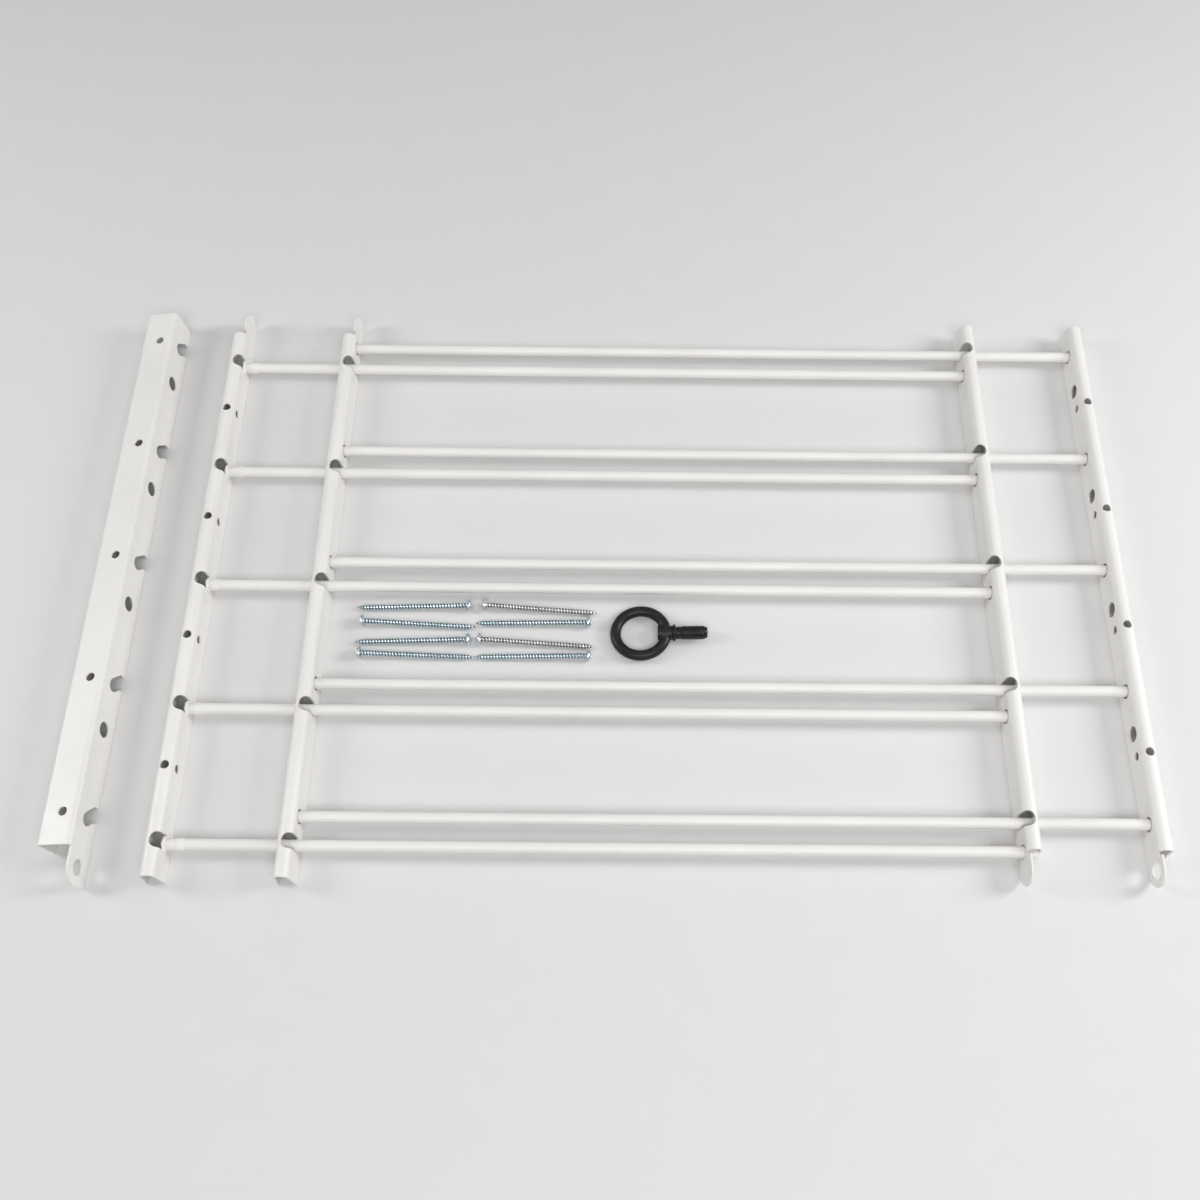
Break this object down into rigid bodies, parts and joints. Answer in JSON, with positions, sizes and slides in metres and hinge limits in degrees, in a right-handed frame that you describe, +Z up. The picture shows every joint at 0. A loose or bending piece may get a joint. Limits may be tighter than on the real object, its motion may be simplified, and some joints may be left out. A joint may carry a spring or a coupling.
{
  "type": "window security bar",
  "caption": "Telescoping barred window guard kit laid flat: two sliding frames of round rods in channel uprights, a slotted jamb channel, wall screws and a locking eye bolt.",
  "frame": {"origin": "on the table, under the middle of the kit's bounding box", "axes": "kit lying flat: +X along the rods from the jamb channel to the right end upright, +Y along the uprights away from the viewer, +Z up from the table"},
  "size_m": [0.7552, 0.466, 0.0254],
  "materials": {
    "white_powder_coat": "satin white powder coat on steel",
    "zinc_plate": "bright blue-white zinc plate",
    "black_oxide": "black oxide on forged steel"
  },
  "bodies": {
    "left_frame": {"left_end_upright": "white_powder_coat", "left_guide_upright": "white_powder_coat", "left_rod_1": "white_powder_coat", "left_rod_2": "white_powder_coat", "left_rod_3": "white_powder_coat", "left_rod_4": "white_powder_coat", "left_rod_5": "white_powder_coat"},
    "right_frame": {"right_guide_upright": "white_powder_coat", "right_end_upright": "white_powder_coat", "right_rod_1": "white_powder_coat", "right_rod_2": "white_powder_coat", "right_rod_3": "white_powder_coat", "right_rod_4": "white_powder_coat", "right_rod_5": "white_powder_coat"},
    "jamb_channel": {"jamb_channel": "white_powder_coat"},
    "screw_1_body": {"screw_1": "zinc_plate"},
    "screw_2_body": {"screw_2": "zinc_plate"},
    "screw_3_body": {"screw_3": "zinc_plate"},
    "screw_4_body": {"screw_4": "zinc_plate"},
    "screw_5_body": {"screw_5": "zinc_plate"},
    "screw_6_body": {"screw_6": "zinc_plate"},
    "screw_7_body": {"screw_7": "zinc_plate"},
    "screw_8_body": {"screw_8": "zinc_plate"},
    "eye_bolt_body": {"eye_bolt": "black_oxide"}
  },
  "joints": [
    {"name": "width_slide", "type": "slide", "parent": "left_frame", "child": "right_frame", "axis": [1, 0, 0], "range_m": [-0.073, 0.2]},
    {"name": "jamb_channel_lift", "type": "slide", "parent": "left_frame", "child": "jamb_channel", "axis": [0, 0, 1], "range_m": [0, 0.1]},
    {"name": "screw_1_lift", "type": "slide", "parent": "right_frame", "child": "screw_1_body", "axis": [0, 0, 1], "range_m": [0, 0.08]},
    {"name": "screw_2_lift", "type": "slide", "parent": "right_frame", "child": "screw_2_body", "axis": [0, 0, 1], "range_m": [0, 0.08]},
    {"name": "screw_3_lift", "type": "slide", "parent": "right_frame", "child": "screw_3_body", "axis": [0, 0, 1], "range_m": [0, 0.08]},
    {"name": "screw_4_lift", "type": "slide", "parent": "right_frame", "child": "screw_4_body", "axis": [0, 0, 1], "range_m": [0, 0.08]},
    {"name": "screw_5_lift", "type": "slide", "parent": "right_frame", "child": "screw_5_body", "axis": [0, 0, 1], "range_m": [0, 0.08]},
    {"name": "screw_6_lift", "type": "slide", "parent": "right_frame", "child": "screw_6_body", "axis": [0, 0, 1], "range_m": [0, 0.08]},
    {"name": "screw_7_lift", "type": "slide", "parent": "right_frame", "child": "screw_7_body", "axis": [0, 0, 1], "range_m": [0, 0.08]},
    {"name": "screw_8_lift", "type": "slide", "parent": "right_frame", "child": "screw_8_body", "axis": [0, 0, 1], "range_m": [0, 0.08]},
    {"name": "eye_bolt_lift", "type": "slide", "parent": "right_frame", "child": "eye_bolt_body", "axis": [0, 0, 1], "range_m": [0, 0.08]}
  ]
}
